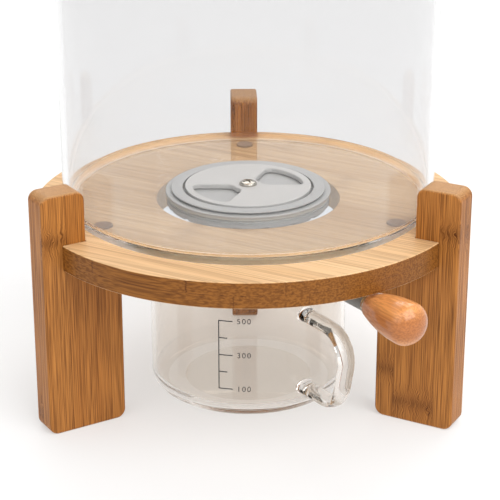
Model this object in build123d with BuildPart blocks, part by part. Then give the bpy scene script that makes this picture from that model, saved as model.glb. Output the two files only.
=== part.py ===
"""Glass cereal dispenser on a three-legged bamboo stand, with a lever valve and a measuring cup.

Lengths are in millimetres and angles in degrees. The origin lies on the worktop below the jar's
axis. +Z is up, -Y is the front, and the back leg stands on +Y. Angles run anticlockwise from +X,
seen from above.
"""

import os

from build123d import *

# Clearances
wood_fit = 0.1  # around wooden pieces that are let into each other
screw_fit = 0.1  # around screw shanks and studs
seal_fit = 0.3  # between rubber rings and what they slip over or into
running_fit = 0.06  # around the turning shaft
face_fit = 0.1  # under the turning disc

# Measuring cup
cup_radius = 54.0
cup_height = 69.0
cup_wall = 2.2
cup_floor = 4.5
cup_corner = 9.0
cup_inner_corner = 7.0
cup_rim_round = 0.9
cup_foot_width = 10.0  # flat ring that the cup stands on
cup_foot_height = 1.0
handle_angle = -57.0
handle_reach = 97.0  # from the cup's axis to the outside of the handle
handle_width = 10.0
handle_thickness = 7.0
handle_top_drop = 11.0  # from the rim to the upper root
handle_low_height = 15.5
handle_low_tuck = 9.0  # how far the lower bend lies inside the upper one
handle_bend = 15.0
handle_root_round = 2.0

# Lever and knob
lever_angle = -56.7
lever_turn = 75.0  # from shut to open, clockwise
knob_radius = 11.3
knob_neck_radius = 6.2
knob_tuck = 8.0  # how far the knob reaches in under the board
knob_belly_reach = 20.5  # from the board's rim to the widest place
knob_nose = 8.5  # from the widest place to the tip
knob_neck_round = 1.0
knob_headroom = 0.5  # between the knob and the board
cup_headroom = 2.5  # between the cup's rim and the knob
ferrule_length = 2.0
ferrule_lip = 0.8  # how far the ferrule is slimmer than the neck
stud_radius = 3.0
stud_grip = 12.0  # length of stud in the arm
stud_depth = 26.0  # length of stud in the knob
arm_thickness = 3.0
arm_hub_radius = 12.0
arm_tip_radius = 6.0
arm_socket_radius = 4.9
arm_socket_length = 15.0

# Jar
jar_radius = 100.0
jar_wall = 3.0
jar_floor = 4.2
jar_height = 270.0
jar_corner = 5.5
jar_inner_corner = 3.5
jar_rim_round = 1.2
jar_hole_gap = 1.5  # between the floor's hole and the valve's neck

# Stand board
board_overhang = 16.0  # past the jar's wall
board_thickness = 14.0
board_edge_round = 0.8
board_hole_gap = 5.5  # between the hole and the clamp nut

# Legs
leg_names = ("leg_back", "leg_left", "leg_right")  # anticlockwise, seen from above
leg_first_angle = 90.0  # of the back leg
leg_thickness = 16.0
leg_overhang = 10.5  # past the board's rim
leg_jar_gap = 2.0
leg_shoulder = 20.0  # length of the ledge that carries the board
leg_post_rise = 27.0  # above the board
leg_corner = 5.0
leg_edge_round = 1.2

# Leg screws and the pads over them
leg_screw_inset = 5.0  # from the inner edge of the leg
leg_screw_radius = 2.5
leg_screw_shank = 42.0
leg_screw_tip = 4.0
leg_screw_head_radius = 4.4
leg_screw_head_height = 3.0
pad_radius = 4.7
pad_plug = 3.0  # depth of the pad in the board
pad_stand = 0.8  # height of the pad over the board
pad_edge_round = 0.3

# Valve
window_inner = 8.0
window_outer = 30.0
window_span = 70.0
window_angle = 33.0  # middle of the disc's first window when shut
window_corner = 3.0
window_round = 0.8  # of the windows' upper edges in the disc
shutter_rim = 5.4  # of the disc outside its windows
shutter_thickness = 3.0
shutter_bevel = 0.3
shutter_gap = 0.5  # around the disc
seat_thickness = 2.4
seat_lip_width = 5.8
seat_lip_thickness = 1.1
seat_depth = 2.5  # from the lip down to the face that the disc turns on
seat_lip_groove = 0.5
seat_lip_undercut = 0.7
seat_lip_bevel = 0.5
flange_step = 3.0  # how far the flange stands out past the lip
flange_thickness = 1.3
flange_round = 0.4
gasket_thickness = 1.0
gasket_setback = 0.3
neck_margin = 4.0  # between the windows and the neck's wall
neck_wall = 4.0
neck_drop = 1.5  # below the nut
boss_setback = 0.5  # from the windows to the bearing boss
boss_length = 12.0  # below the seat's floor
nut_width = 6.0
nut_height = 3.0
nut_bevel = 0.8
nut_grips = 18
nut_grip_radius = 2.2
clamp_gasket_thickness = 1.2
shaft_radius = 4.5
shaft_collar_radius = 7.0
shaft_collar_height = 2.5
shaft_square_share = 1.33  # side of the square ends over the shaft's radius
shaft_square_setback = 0.2  # the square ends stop short of the faces that the screws clamp
shaft_end_play = 0.2
screw_radius = 1.9
screw_length = 12.0
screw_head_radius = 4.7
screw_head_height = 2.3
screw_dome_share = 0.55  # of the head's height
cross_length_share = 1.25  # of the head's radius
cross_width_share = 0.28
cross_depth_share = 0.6  # of the head's height
cross_taper = 12.0

# Lid
lid_overhang = 1.0  # past the jar's wall
lid_thickness = 13.0
lid_top_round = 3.0
lid_under_round = 1.0
lid_plug_depth = 12.0
lid_plug_gap = 2.5
lid_plug_bevel = 0.8
seal_height = 6.0
seal_groove = 1.5
seal_rise = 3.0  # from the plug's lower end to the groove
seal_band = 2.0
seal_fin = 1.2

# Levels
lever_height = cup_height + cup_headroom + knob_radius
knob_rim_share = knob_tuck / (knob_tuck + knob_belly_reach)  # of the way to the belly, at the board's rim
knob_rim_swell = (knob_radius - knob_neck_radius) * knob_rim_share * (2 - knob_rim_share)
board_height = lever_height + knob_neck_radius + knob_rim_swell + knob_headroom
board_top = board_height + board_thickness
jar_bottom = board_top + pad_stand
floor_top = jar_bottom + jar_floor
flange_bottom = floor_top + gasket_thickness
flange_top = flange_bottom + flange_thickness
lip_bottom = flange_top + seat_lip_groove
lip_top = lip_bottom + seat_lip_thickness
seat_top = lip_top - seat_depth
seat_bottom = seat_top - seat_thickness
shutter_bottom = seat_top + face_fit
shutter_top = shutter_bottom + shutter_thickness
boss_bottom = seat_bottom - boss_length
collar_top = boss_bottom - shaft_end_play
arm_bottom = lever_height - arm_thickness / 2
arm_top = arm_bottom + arm_thickness
clamp_gasket_bottom = jar_bottom - clamp_gasket_thickness
nut_bottom = clamp_gasket_bottom - nut_height
neck_bottom = nut_bottom - neck_drop
leg_top = board_top + leg_post_rise
jar_rim = jar_bottom + jar_height
lid_top = jar_rim + lid_thickness
plug_bottom = jar_rim - lid_plug_depth
seal_bottom = plug_bottom + seal_rise
leg_screw_seat = board_top - pad_plug - leg_screw_head_height
leg_screw_point = leg_screw_seat - leg_screw_shank

# Places of the legs, evenly round the jar
leg_turn_angle = 360 / len(leg_names)
leg_angles = {name: leg_first_angle + turn * leg_turn_angle for turn, name in enumerate(leg_names)}

# Radii
jar_inside = jar_radius - jar_wall
board_radius = jar_radius + board_overhang
leg_outer = board_radius + leg_overhang
leg_post_inner = jar_radius + leg_jar_gap
leg_foot_inner = leg_post_inner - leg_shoulder
leg_screw_circle = leg_foot_inner + leg_screw_inset
shutter_radius = window_outer + shutter_rim
recess_radius = shutter_radius + shutter_gap
lip_radius = recess_radius + seat_lip_width
flange_radius = lip_radius + flange_step
neck_inner = window_outer + neck_margin
neck_radius = neck_inner + neck_wall
boss_radius = window_inner - boss_setback
bore_radius = shaft_radius + running_fit
nut_radius = neck_radius + nut_width
jar_hole_radius = neck_radius + jar_hole_gap
board_hole_radius = nut_radius + board_hole_gap
shaft_square = shaft_radius * shaft_square_share
knob_start = board_radius - knob_tuck
knob_belly = board_radius + knob_belly_reach
knob_tip = knob_belly + knob_nose
arm_end = knob_start - ferrule_length
lid_radius = jar_radius + lid_overhang
plug_radius = jar_inside - lid_plug_gap
seal_inner = plug_radius - seal_groove
seal_outer = jar_inside - seal_fit


def upright_plane(angle: float, height: float = 0.0) -> Plane:
    """Upright plane through the jar's axis, with its x outwards along the angle and its y up."""
    outwards = Vector(1, 0, 0).rotate(Axis.Z, angle)
    return Plane(origin=(0, 0, height), x_dir=outwards, z_dir=outwards.cross(Vector(0, 0, 1)))


def fan_windows(middle: float) -> Sketch:
    """Two opposite fan-shaped windows, the first one's middle at the given angle."""
    with BuildSketch() as windows:
        for half_turn in (0, 180):
            first = middle + half_turn - window_span / 2
            with BuildLine():
                inner = CenterArc((0, 0), window_inner, first, window_span)
                outer = CenterArc((0, 0), window_outer, first, window_span)
                Line(inner @ 0, outer @ 0)
                Line(inner @ 1, outer @ 1)
            make_face()
        fillet(windows.vertices(), window_corner)
    return windows.sketch


def circles_at(part: BuildPart, height: float) -> ShapeList[Edge]:
    """The round edges of a part that lie level at the given height, the widest first."""
    level = part.edges().filter_by(GeomType.CIRCLE).filter_by_position(Axis.Z, height, height)
    return level.sort_by(SortBy.RADIUS, reverse=True)


def finish(builder: BuildPart, name: str) -> None:
    """Labels the finished piece and writes its STEP file."""
    builder.part.label = name
    export_step(builder.part, f"parts/{name}.step")


os.makedirs("parts", exist_ok=True)

# Stand board: a disc notched for the legs' posts, with a hole for the valve's nut
with BuildPart() as stand_board:
    with BuildSketch(Plane.XY.offset(board_height)):
        Circle(board_radius)
        Circle(board_hole_radius, mode=Mode.SUBTRACT)
        with PolarLocations(leg_post_inner - wood_fit, len(leg_names), leg_first_angle):
            Rectangle(
                leg_outer - leg_post_inner,
                leg_thickness + 2 * wood_fit,
                align=(Align.MIN, Align.CENTER),
                mode=Mode.SUBTRACT,
            )
    extrude(amount=board_thickness)
    with Locations(Plane.XY.offset(board_top)):
        with PolarLocations(leg_screw_circle, len(leg_names), leg_first_angle):
            CounterBoreHole(
                leg_screw_radius + screw_fit, pad_radius + wood_fit, pad_plug + leg_screw_head_height
            )
    rims = circles_at(stand_board, board_top).group_by(SortBy.RADIUS)[-1]
    rims += circles_at(stand_board, board_height).group_by(SortBy.RADIUS)[-1]
    fillet(rims, board_edge_round)
finish(stand_board, "stand_board")

# Legs: flat bamboo with a ledge under the board and a post beside the jar
for leg_name, leg_angle in leg_angles.items():
    with BuildPart() as leg:
        with BuildSketch(upright_plane(leg_angle)) as leg_outline:
            with BuildLine():
                Polyline(
                    (leg_foot_inner, 0),
                    (leg_outer, 0),
                    (leg_outer, leg_top),
                    (leg_post_inner, leg_top),
                    (leg_post_inner, board_height),
                    (leg_foot_inner, board_height),
                    close=True,
                )
            make_face()
            rounded = leg_outline.vertices().group_by(Axis.Y)
            fillet(rounded[0] + rounded[-1], leg_corner)
        extrude(amount=leg_thickness / 2, both=True)
        sides = leg.faces().sort_by(SortBy.AREA)[-2:]
        fillet(sides.edges(), leg_edge_round)
        with Locations(Plane.XY.offset(board_height)):
            with PolarLocations(leg_screw_circle, 1, leg_angle):
                Hole(leg_screw_radius + screw_fit, board_height - leg_screw_point + screw_fit)
    finish(leg, leg_name)

# Leg screws: cylinder heads in the board's counterbores, pointed shanks down into the legs
with BuildPart() as leg_screws:
    for leg_angle in leg_angles.values():
        with BuildSketch(upright_plane(leg_angle)):
            with BuildLine():
                Polyline(
                    (leg_screw_circle, leg_screw_point),
                    (leg_screw_circle + leg_screw_radius, leg_screw_point + leg_screw_tip),
                    (leg_screw_circle + leg_screw_radius, leg_screw_seat),
                    (leg_screw_circle + leg_screw_head_radius, leg_screw_seat),
                    (leg_screw_circle + leg_screw_head_radius, leg_screw_seat + leg_screw_head_height),
                    (leg_screw_circle, leg_screw_seat + leg_screw_head_height),
                    close=True,
                )
            make_face()
        screw_axis = Axis(upright_plane(leg_angle).from_local_coords((leg_screw_circle, 0, 0)), (0, 0, 1))
        revolve(axis=screw_axis)
finish(leg_screws, "leg_screws")

# Jar pads: soft plugs over the leg screws, standing a little proud to carry the jar
with BuildPart() as jar_pads:
    with BuildSketch(Plane.XY.offset(board_top - pad_plug)):
        with PolarLocations(leg_screw_circle, len(leg_names), leg_first_angle):
            Circle(pad_radius)
    extrude(amount=pad_plug + pad_stand)
    fillet(circles_at(jar_pads, jar_bottom), pad_edge_round)
finish(jar_pads, "jar_pads")

# Glass jar: straight wall, rounded bottom corner, hole in the floor
with BuildPart() as glass_jar:
    with BuildSketch(Plane.XZ) as jar_section:
        with BuildLine():
            Polyline(
                (jar_hole_radius, jar_bottom),
                (jar_radius, jar_bottom),
                (jar_radius, jar_rim),
                (jar_inside, jar_rim),
                (jar_inside, floor_top),
                (jar_hole_radius, floor_top),
                close=True,
            )
        make_face()
        corners = jar_section.vertices().group_by(Axis.Y)
        fillet(corners[0].sort_by(Axis.X)[-1], jar_corner)
        fillet(corners[1].sort_by(Axis.X)[-1], jar_inner_corner)
        fillet(corners[-1], jar_rim_round)
    revolve(axis=Axis.Z)
finish(glass_jar, "glass_jar")

# Valve seat: flange on the floor, neck through the hole, and a floor with two windows
with BuildPart() as valve_seat:
    with BuildSketch(Plane.XZ):
        with BuildLine():
            Polyline(
                (bore_radius, boss_bottom),
                (boss_radius, boss_bottom),
                (boss_radius, seat_bottom),
                (neck_inner, seat_bottom),
                (neck_inner, neck_bottom),
                (neck_radius, neck_bottom),
                (neck_radius, flange_bottom),
                (flange_radius, flange_bottom),
                (flange_radius, flange_top),
                (lip_radius - seat_lip_undercut, flange_top),
                (lip_radius - seat_lip_undercut, lip_bottom),
                (lip_radius, lip_bottom),
                (lip_radius, lip_top),
                (recess_radius, lip_top),
                (recess_radius, seat_top),
                (bore_radius, seat_top),
                close=True,
            )
        make_face()
    revolve(axis=Axis.Z)
    chamfer(circles_at(valve_seat, lip_top), seat_lip_bevel)
    fillet(circles_at(valve_seat, flange_top)[0], flange_round)
    with BuildSketch(Plane.XY.offset(seat_bottom)):
        add(fan_windows(window_angle - lever_turn))
    extrude(amount=seat_thickness, mode=Mode.SUBTRACT)
finish(valve_seat, "valve_seat")

# Flange gasket: flat ring between the flange and the jar's floor
with BuildPart() as flange_gasket:
    with BuildSketch(Plane.XY.offset(floor_top)):
        Circle(flange_radius - gasket_setback)
        Circle(neck_radius + seal_fit, mode=Mode.SUBTRACT)
    extrude(amount=gasket_thickness)
finish(flange_gasket, "flange_gasket")

# Clamp gasket: flat ring between the jar's floor and the nut
with BuildPart() as clamp_gasket:
    with BuildSketch(Plane.XY.offset(clamp_gasket_bottom)):
        Circle(nut_radius - gasket_setback)
        Circle(neck_radius + seal_fit, mode=Mode.SUBTRACT)
    extrude(amount=clamp_gasket_thickness)
finish(clamp_gasket, "clamp_gasket")

# Clamp nut: ring on the neck, fluted for the fingers
with BuildPart() as clamp_nut:
    with BuildSketch(Plane.XY.offset(nut_bottom)):
        Circle(nut_radius)
        Circle(neck_radius + screw_fit, mode=Mode.SUBTRACT)
    extrude(amount=nut_height)
    chamfer(circles_at(clamp_nut, nut_bottom)[0], nut_bevel)
    with BuildSketch(Plane.XY.offset(nut_bottom)):
        with PolarLocations(nut_radius, nut_grips):
            Circle(nut_grip_radius)
    extrude(amount=nut_height / 2, mode=Mode.SUBTRACT)
finish(clamp_nut, "clamp_nut")

# Shutter disc: two fan-shaped windows, driven through a square hole
with BuildPart() as shutter_disc:
    with BuildSketch(Plane.XY.offset(shutter_bottom)):
        Circle(shutter_radius)
        add(fan_windows(window_angle), mode=Mode.SUBTRACT)
        Rectangle(
            shaft_square + 2 * screw_fit,
            shaft_square + 2 * screw_fit,
            rotation=lever_angle,
            mode=Mode.SUBTRACT,
        )
    extrude(amount=shutter_thickness)
    top_face = shutter_disc.faces().sort_by(Axis.Z)[-1]
    window_rims = [wire for wire in top_face.inner_wires() if wire.edges().filter_by(GeomType.CIRCLE)]
    fillet([edge for wire in window_rims for edge in wire.edges()], window_round)
    chamfer(circles_at(shutter_disc, shutter_top)[0], shutter_bevel)
finish(shutter_disc, "shutter_disc")

# Drive shaft: round in the seat's boss, collared below it, square at both ends
with BuildPart() as drive_shaft:
    with BuildSketch(Plane.XY.offset(arm_top)):
        Circle(shaft_radius)
    extrude(amount=shutter_bottom - arm_top)
    with BuildSketch(Plane.XY.offset(collar_top)):
        Circle(shaft_collar_radius)
    extrude(amount=-shaft_collar_height)
    upper_square = shutter_thickness - shaft_square_setback
    lower_square = arm_thickness - shaft_square_setback
    for shoulder, length in ((shutter_bottom, upper_square), (arm_top, -lower_square)):
        with BuildSketch(Plane.XY.offset(shoulder)):
            Rectangle(shaft_square, shaft_square, rotation=lever_angle)
        extrude(amount=length)
    screw_hole_depth = screw_length + screw_fit
    for end, depth in ((shutter_top, -screw_hole_depth), (arm_bottom, screw_hole_depth)):
        with BuildSketch(Plane.XY.offset(end)):
            Circle(screw_radius + screw_fit)
        extrude(amount=depth, mode=Mode.SUBTRACT)
finish(drive_shaft, "drive_shaft")

# Centre screw on the disc, and its twin under the lever
for screw_name, clamped_face, upwards in (("centre_screw", shutter_top, 1), ("lever_screw", arm_bottom, -1)):
    head_shoulder = screw_head_height * (1 - screw_dome_share)
    with BuildPart() as screw:
        with BuildSketch(Plane.XZ):
            with BuildLine():
                shank = Polyline(
                    (0, clamped_face + upwards * screw_head_height),
                    (0, clamped_face - upwards * screw_length),
                    (screw_radius, clamped_face - upwards * screw_length),
                    (screw_radius, clamped_face),
                    (screw_head_radius, clamped_face),
                    (screw_head_radius, clamped_face + upwards * head_shoulder),
                )
                EllipticalCenterArc(
                    (0, clamped_face + upwards * head_shoulder),
                    screw_head_radius,
                    screw_head_height - head_shoulder,
                    0,
                    arc_size=upwards * 90,
                )
            make_face()
        revolve(axis=Axis.Z)
        with BuildSketch(Plane.XY.offset(clamped_face + upwards * screw_head_height)):
            for arm_turn in (0, 90):
                Rectangle(
                    screw_head_radius * cross_length_share,
                    screw_head_radius * cross_width_share,
                    rotation=arm_turn,
                )
        extrude(
            amount=-upwards * screw_head_height * cross_depth_share, taper=cross_taper, mode=Mode.SUBTRACT
        )
    finish(screw, screw_name)

# Lever arm: tapered flat bar with a socket for the knob's stud at its end
lever_plane = upright_plane(lever_angle, lever_height)
knob_axis = Axis(lever_plane.origin, lever_plane.x_dir)
socket_plane = Plane(
    lever_plane.from_local_coords((arm_end, 0, 0)), x_dir=lever_plane.z_dir, z_dir=-lever_plane.x_dir
)
with BuildPart() as lever_arm:
    with BuildSketch(Plane.XY.offset(arm_bottom)):
        Circle(arm_hub_radius)
        with PolarLocations(arm_end - arm_socket_length, 1, lever_angle):
            Circle(arm_tip_radius)
        make_hull()
        Rectangle(
            shaft_square + 2 * screw_fit,
            shaft_square + 2 * screw_fit,
            rotation=lever_angle,
            mode=Mode.SUBTRACT,
        )
    extrude(amount=arm_thickness)
    with BuildSketch(socket_plane):
        Circle(arm_socket_radius)
    extrude(amount=arm_socket_length)
    with BuildSketch(socket_plane):
        Circle(stud_radius + screw_fit)
    extrude(amount=stud_grip + screw_fit, mode=Mode.SUBTRACT)
finish(lever_arm, "lever_arm")

# Knob stud: threaded pin from the arm's socket into the knob
with BuildPart() as knob_stud:
    with BuildSketch(socket_plane):
        Circle(stud_radius)
    extrude(amount=stud_grip)
    extrude(knob_stud.faces().sort_by(knob_axis)[-1], amount=ferrule_length + stud_depth)
finish(knob_stud, "knob_stud")

# Knob ferrule: ring between the arm and the knob
with BuildPart() as knob_ferrule:
    with BuildSketch(socket_plane):
        Circle(knob_neck_radius - ferrule_lip)
        Circle(stud_radius + screw_fit, mode=Mode.SUBTRACT)
    extrude(amount=-ferrule_length)
finish(knob_ferrule, "knob_ferrule")

# Knob: turned egg, slim under the board's rim and full outside it
with BuildPart() as knob:
    with BuildSketch(lever_plane) as knob_section:
        with BuildLine():
            Polyline((knob_tip, 0), (knob_start, 0), (knob_start, knob_neck_radius))
            Bezier(
                (knob_start, knob_neck_radius),
                ((knob_start + knob_belly) / 2, knob_radius),
                (knob_belly, knob_radius),
            )
            EllipticalCenterArc((knob_belly, 0), knob_nose, knob_radius, 0, arc_size=90)
        make_face()
        neck_end = knob_section.vertices().group_by(Axis.X)[0].sort_by(Axis.Y)[-1]
        fillet(neck_end, knob_neck_round)
    revolve(axis=knob_axis)
    with BuildSketch(socket_plane.offset(-ferrule_length)):
        Circle(stud_radius + screw_fit)
    extrude(amount=-stud_depth - screw_fit, mode=Mode.SUBTRACT)
finish(knob, "knob")

# Lid: bamboo disc with a plug, grooved for its ring
with BuildPart() as lid_board:
    with BuildSketch(Plane.XZ) as lid_section:
        with BuildLine():
            Polyline(
                (0, plug_bottom),
                (plug_radius, plug_bottom),
                (plug_radius, seal_bottom),
                (seal_inner, seal_bottom),
                (seal_inner, seal_bottom + seal_height),
                (plug_radius, seal_bottom + seal_height),
                (plug_radius, jar_rim),
                (lid_radius, jar_rim),
                (lid_radius, lid_top),
                (0, lid_top),
                close=True,
            )
        make_face()
        rim_corners = lid_section.vertices().group_by(Axis.X)[-1].sort_by(Axis.Y)
        fillet(rim_corners[0], lid_under_round)
        fillet(rim_corners[-1], lid_top_round)
    revolve(axis=Axis.Z)
    chamfer(circles_at(lid_board, plug_bottom)[0], lid_plug_bevel)
finish(lid_board, "lid_board")

# Lid seal: soft ring in the groove, with two fins against the glass
with BuildPart() as lid_seal:
    with BuildSketch(Plane.XZ):
        with BuildLine():
            Polyline(
                (seal_inner, seal_bottom),
                (seal_outer, seal_bottom),
                (seal_outer, seal_bottom + seal_fin),
                (seal_inner + seal_band, seal_bottom + seal_fin),
                (seal_inner + seal_band, seal_bottom + seal_height - seal_fin),
                (seal_outer, seal_bottom + seal_height - seal_fin),
                (seal_outer, seal_bottom + seal_height),
                (seal_inner, seal_bottom + seal_height),
                close=True,
            )
        make_face()
    revolve(axis=Axis.Z)
finish(lid_seal, "lid_seal")

# Measuring cup: one piece of glass with its handle, on a raised foot ring
handle_top = cup_height - handle_top_drop
handle_line = handle_reach - handle_thickness / 2
handle_root = cup_radius - cup_wall / 2
cup_foot_inner = cup_radius - cup_corner - cup_foot_width
handle_plane = upright_plane(handle_angle)
with BuildPart() as measuring_cup:
    with BuildSketch(Plane.XZ) as cup_section:
        with BuildLine():
            Polyline(
                (0, cup_foot_height),
                (cup_foot_inner, cup_foot_height),
                (cup_foot_inner + cup_foot_height, 0),
                (cup_radius, 0),
                (cup_radius, cup_height),
                (cup_radius - cup_wall, cup_height),
                (cup_radius - cup_wall, cup_floor),
                (0, cup_floor),
                close=True,
            )
        make_face()
        levels = cup_section.vertices().group_by(Axis.Y)
        fillet(levels[0].sort_by(Axis.X)[-1], cup_corner)
        fillet(levels[-1], cup_rim_round)
        fillet(levels[2].sort_by(Axis.X)[-1], cup_inner_corner)
    revolve(axis=Axis.Z)
    with BuildLine(handle_plane) as handle_path:
        FilletPolyline(
            (handle_root, handle_top),
            (handle_line, handle_top),
            (handle_line - handle_low_tuck, handle_low_height),
            (handle_root, handle_low_height),
            radius=handle_bend,
        )
    root_plane = Plane(handle_path.line @ 0, x_dir=handle_plane.z_dir, z_dir=handle_path.line % 0)
    with BuildSketch(root_plane):
        Ellipse(handle_width / 2, handle_thickness / 2)
    sweep()
    roots = measuring_cup.edges().filter_by(GeomType.BSPLINE)
    fillet(roots, handle_root_round)
finish(measuring_cup, "measuring_cup")
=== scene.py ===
"""Looks of a glass cereal dispenser on a bamboo stand.

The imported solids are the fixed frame. Each sub-assembly models its visible pieces where the frame
has them, gives them their finish and lets them ride on the frame's bodies. Lengths are in metres
and angles in degrees, unless a name says otherwise. +Z is up and -Y is the front.
"""

import logging
import math
from dataclasses import dataclass, field, replace
from enum import Enum
from typing import Sequence

import bpy
from mathutils import Matrix, Vector


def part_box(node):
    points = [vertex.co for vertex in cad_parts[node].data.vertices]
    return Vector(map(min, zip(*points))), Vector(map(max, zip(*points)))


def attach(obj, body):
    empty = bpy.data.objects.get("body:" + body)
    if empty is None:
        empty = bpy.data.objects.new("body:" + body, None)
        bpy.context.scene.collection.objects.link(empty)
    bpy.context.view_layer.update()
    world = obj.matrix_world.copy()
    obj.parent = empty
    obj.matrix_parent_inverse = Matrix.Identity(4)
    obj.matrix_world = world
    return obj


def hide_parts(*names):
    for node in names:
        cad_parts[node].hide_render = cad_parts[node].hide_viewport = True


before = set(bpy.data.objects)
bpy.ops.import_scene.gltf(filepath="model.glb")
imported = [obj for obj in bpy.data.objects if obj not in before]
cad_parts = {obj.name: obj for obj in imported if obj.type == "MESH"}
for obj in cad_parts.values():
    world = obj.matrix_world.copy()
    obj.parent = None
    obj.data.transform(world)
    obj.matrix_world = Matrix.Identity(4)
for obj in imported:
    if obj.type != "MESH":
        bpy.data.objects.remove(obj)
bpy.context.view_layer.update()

LOG = logging.getLogger("dispenser")

Point = tuple[float, float]
Place = tuple[float, float, float]
Corner = tuple[float, float, float]
Colour = tuple[float, float, float]
Piece = bpy.types.Object
Material = bpy.types.Material
Node = bpy.types.Node
Socket = bpy.types.NodeSocket
Input = float | Sequence[float] | Socket

ARC_STEPS = 8
TURN_STEPS = 192
SMALL_TURN_STEPS = 96
MERGE_DISTANCE = 1e-7
SMOOTH_ANGLE = 38.0
LEG_ANGLES = {"leg_back": 90.0, "leg_left": 210.0, "leg_right": 330.0}
LEG_KNUCKLES = {"leg_back": 0.0, "leg_left": 0.06, "leg_right": 0.03}


def level_of(node: str) -> tuple[float, float]:
    """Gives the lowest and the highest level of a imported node."""
    low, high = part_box(node)
    return low.z, high.z


def radius_of(node: str) -> float:
    """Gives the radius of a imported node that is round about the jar's axis."""
    low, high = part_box(node)
    return (high.x - low.x) / 2


def rounded(corners: Sequence[Corner]) -> list[Point]:
    """Rounds the corners of an outline.

    Args:
        corners: The outline's corners in order, each with the radius of its arc.

    Returns:
        The outline's points, with an arc of points at each rounded corner.
    """
    points: list[Point] = []
    for index, (x, y, radius) in enumerate(corners):
        here = Vector((x, y))
        if radius == 0:
            points.append((x, y))
            continue
        back = (Vector(corners[index - 1][:2]) - here).normalized()
        ahead = (Vector(corners[(index + 1) % len(corners)][:2]) - here).normalized()
        half_angle = back.angle(ahead) / 2
        centre = here + (back + ahead).normalized() * radius / math.sin(half_angle)
        first = here + back * radius / math.tan(half_angle) - centre
        last = here + ahead * radius / math.tan(half_angle) - centre
        start = math.atan2(first.y, first.x)
        sweep = math.remainder(math.atan2(last.y, last.x) - start, math.tau)
        for step in range(ARC_STEPS + 1):
            angle = start + sweep * step / ARC_STEPS
            points.append((centre.x + radius * math.cos(angle), centre.y + radius * math.sin(angle)))
    return points


def arc(radius: float, first: float, last: float, steps: int) -> list[Point]:
    """Gives points on a circle about the origin.

    Args:
        radius: The circle's radius.
        first: Angle of the first point.
        last: Angle of the last point.
        steps: Number of steps between them.

    Returns:
        The points in order, both ends included.
    """
    angles = (math.radians(first + (last - first) * step / steps) for step in range(steps + 1))
    return [(radius * math.cos(angle), radius * math.sin(angle)) for angle in angles]


def bend(first: Point, corner: Point, last: Point, steps: int = ARC_STEPS) -> list[Point]:
    """Rounds one corner of an outline by a smooth curve.

    Args:
        first: Where the curve leaves the side before the corner.
        corner: The corner itself.
        last: Where the curve meets the side after it.
        steps: Number of steps along the curve.

    Returns:
        Points on the curve, both ends included.
    """
    start, turn, end = Vector(first), Vector(corner), Vector(last)
    shares = (step / steps for step in range(steps + 1))
    return [tuple(start.lerp(turn, share).lerp(turn.lerp(end, share), share)) for share in shares]


def dome(radius: float, base: float, rise: float, steps: int) -> list[Point]:
    """Gives the section of a dome, a quarter of an ellipse.

    Args:
        radius: Radius of the dome's foot.
        base: Level of the foot.
        rise: Height of the dome.
        steps: Number of steps from the foot to the top.

    Returns:
        Points from the foot up to one step short of the top.
    """
    angles = (math.radians(90 * step / steps) for step in range(steps))
    return [(radius * math.cos(angle), base + rise * math.sin(angle)) for angle in angles]


def ring_section(inner: float, outer: float, low: float, high: float, edge: float) -> list[Point]:
    """Gives the section of a flat ring with rounded edges.

    Args:
        inner: The ring's inner radius.
        outer: Its outer radius.
        low: Level of its lower face.
        high: Level of its upper face.
        edge: Radius of its edges.

    Returns:
        The section's points of radius and height.
    """
    return rounded([(inner, low, edge), (outer, low, edge), (outer, high, edge), (inner, high, edge)])


def upright_frame(angle: float, height: float = 0.0) -> Matrix:
    """Gives the frame of an upright plane through the jar's axis.

    Args:
        angle: Direction of the plane's x, seen from above.
        height: Level of the plane's origin.

    Returns:
        The frame, with its x outwards, its y up and its z square to the plane.
    """
    outwards = Vector((math.cos(math.radians(angle)), math.sin(math.radians(angle)), 0))
    upwards = Vector((0, 0, 1))
    turned_frame = Matrix((outwards, upwards, outwards.cross(upwards))).transposed().to_4x4()
    return Matrix.Translation((0, 0, height)) @ turned_frame


def select_only(piece: Piece) -> None:
    """Selects one piece and makes it the active one.

    Args:
        piece: The piece.
    """
    bpy.ops.object.select_all(action="DESELECT")
    piece.select_set(True)
    bpy.context.view_layer.objects.active = piece


def loop_piece(name: str, points: Sequence[Sequence[float]]) -> Piece:
    """Starts a piece from a circle whose vertices are moved to an outline.

    Args:
        name: The piece's name.
        points: The outline's points in space.

    Returns:
        The piece, a closed loop of edges, in edit mode with all of it selected.
    """
    bpy.ops.object.select_all(action="DESELECT")
    bpy.ops.mesh.primitive_circle_add(vertices=len(points))
    piece = bpy.context.object
    piece.name = piece.data.name = name
    for vertex, point in zip(piece.data.vertices, points):
        vertex.co = point
    bpy.ops.object.mode_set(mode="EDIT")
    bpy.ops.mesh.select_all(action="SELECT")
    return piece


def close_shell() -> None:
    """Merges doubles, points the faces outwards and leaves edit mode."""
    bpy.ops.mesh.select_all(action="SELECT")
    bpy.ops.mesh.remove_doubles(threshold=MERGE_DISTANCE)
    bpy.ops.mesh.normals_make_consistent(inside=False)
    bpy.ops.object.mode_set(mode="OBJECT")


def apply_modifier(piece: Piece, kind: str, **settings: object) -> None:
    """Adds a modifier to a piece and applies it.

    Args:
        piece: The piece.
        kind: The modifier's kind.
        settings: Values for the modifier's settings.
    """
    select_only(piece)
    modifier = piece.modifiers.new(kind, kind)
    for setting, value in settings.items():
        setattr(modifier, setting, value)
    bpy.ops.object.modifier_apply(modifier=modifier.name)


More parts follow.
